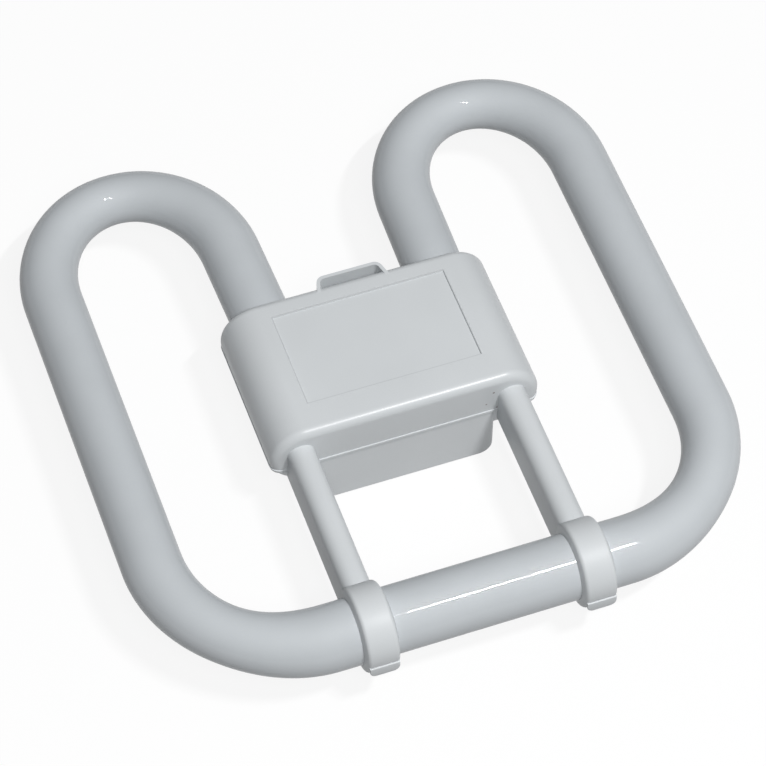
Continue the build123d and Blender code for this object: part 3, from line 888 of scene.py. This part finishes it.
class LAMP_OT_stage(bpy.types.Operator):
    """Build the floor, the lights, the world and the camera"""

    bl_idname = "lamp.stage"
    bl_label = "Stage"

    def execute(self, context):
        stage = context.scene.lamp_stage
        self.floor(stage)
        self.world(stage)
        self.lights(stage)
        self.camera(context, stage)
        context.scene.view_settings.view_transform = "Standard"
        return {"FINISHED"}

    def floor(self, stage):
        """A pale floor that stays near white to the camera and keeps the shadow."""
        shape = bmesh.new()
        under = Matrix.Translation((0, 0, -TINY))
        bmesh.ops.create_grid(shape, x_segments=1, y_segments=1, size=stage.floor_reach, matrix=under)
        mesh = bpy.data.meshes.new("floor")
        shape.to_mesh(mesh)
        shape.free()
        floor = bpy.data.objects.new("floor", mesh)
        bpy.context.scene.collection.objects.link(floor)
        paint = Paint("floor")
        seen = paint.node("ShaderNodeLightPath", output="Is Camera Ray")
        mirrored = paint.node("ShaderNodeLightPath", output="Is Glossy Ray")
        passed = paint.node("ShaderNodeLightPath", output="Is Transmission Ray")
        glow = paint.node("ShaderNodeEmission", {}, {"Color": (1, 1, 1, 1), "Strength": 1.0})
        shown = paint.node("ShaderNodeBsdfDiffuse", {}, {"Color": (*stage.shown_tint, 1)})
        white = paint.node("ShaderNodeMixShader", {}, {0: stage.floor_glow, 1: shown, 2: glow})
        diffuse = paint.node("ShaderNodeBsdfDiffuse", {}, {"Color": (*stage.floor_tint, 1)})
        mixed = paint.node("ShaderNodeMixShader", {}, {0: seen + mirrored + passed, 1: diffuse, 2: white})
        output = paint.tree.nodes["Material Output"]
        paint.feed(output.inputs["Surface"], mixed)
        mesh.materials.append(paint.material)

    def world(self, stage):
        """Dim, even, faintly blue light from all round."""
        world = bpy.data.worlds.new("studio")
        bpy.context.scene.world = world
        world.use_nodes = True
        sky = world.node_tree.nodes["Background"]
        sky.inputs["Color"].default_value = (*stage.sky_tint, 1)
        sky.inputs["Strength"].default_value = stage.sky_strength

    def lights(self, stage):
        """A soft light without a reflection, and a narrow one that draws the line of gloss."""
        square = (stage.key_side, stage.key_side)
        strip = (stage.tube_length, stage.tube_width)
        area_light("key_light", stage.key_place, stage.aim, square, stage.key_power, mirrored=False)
        area_light("tube_light", stage.tube_place, stage.aim, strip, stage.tube_power)

    def camera(self, context, stage):
        """The camera at the photo's angle."""
        flat = cos(stage.elevation)
        back = Vector((sin(stage.azimuth) * flat, -cos(stage.azimuth) * flat, sin(stage.elevation)))
        side = Vector((0, 0, 1)).cross(back).normalized()
        up = back.cross(side)
        right = side * cos(stage.roll) - up * sin(stage.roll)
        top = side * sin(stage.roll) + up * cos(stage.roll)
        data = bpy.data.cameras.new("camera")
        data.sensor_width = 36
        data.lens = stage.lens
        data.clip_start = 0.01
        data.clip_end = 20
        camera = bpy.data.objects.new("camera", data)
        turn = Matrix((right, top, back)).transposed().to_4x4()
        camera.matrix_world = Matrix.Translation(stage.place) @ turn
        context.scene.collection.objects.link(camera)
        context.scene.camera = camera


class LAMP_PT_panel(bpy.types.Panel):
    """The lamp's settings and operators in the sidebar"""

    bl_idname = "LAMP_PT_panel"
    bl_label = "Square lamp"
    bl_space_type = "VIEW_3D"
    bl_region_type = "UI"
    bl_category = "Lamp"

    def draw(self, context):
        for operator in OPERATORS:
            self.layout.operator(operator.bl_idname)
        for name in SETTINGS:
            settings = getattr(context.scene, name)
            for prop in settings.bl_rna.properties:
                if prop.identifier not in ("rna_type", "name"):
                    self.layout.prop(settings, prop.identifier)


OPERATORS = [
    LAMP_OT_glass,
    LAMP_OT_cover,
    LAMP_OT_base,
    LAMP_OT_arms,
    LAMP_OT_strap,
    LAMP_OT_gear,
    LAMP_OT_stage,
]
SETTINGS = {
    "lamp_glass": LampGlassSettings,
    "lamp_cap": LampCapSettings,
    "lamp_arm": LampArmSettings,
    "lamp_stage": LampStageSettings,
}


def register():
    for group in SETTINGS.values():
        bpy.utils.register_class(group)
    for operator in OPERATORS:
        bpy.utils.register_class(operator)
    bpy.utils.register_class(LAMP_PT_panel)
    for name, group in SETTINGS.items():
        setattr(bpy.types.Scene, name, PointerProperty(type=group))


def unregister():
    for name in SETTINGS:
        delattr(bpy.types.Scene, name)
    bpy.utils.unregister_class(LAMP_PT_panel)
    for group in [*reversed(OPERATORS), *reversed(list(SETTINGS.values()))]:
        bpy.utils.unregister_class(group)


def main():
    register()
    bpy.ops.lamp.glass()
    bpy.ops.lamp.cover()
    bpy.ops.lamp.base()
    bpy.ops.lamp.arms()
    bpy.ops.lamp.strap()
    bpy.ops.lamp.gear()
    bpy.ops.lamp.stage()


if __name__ == "__main__":
    main()
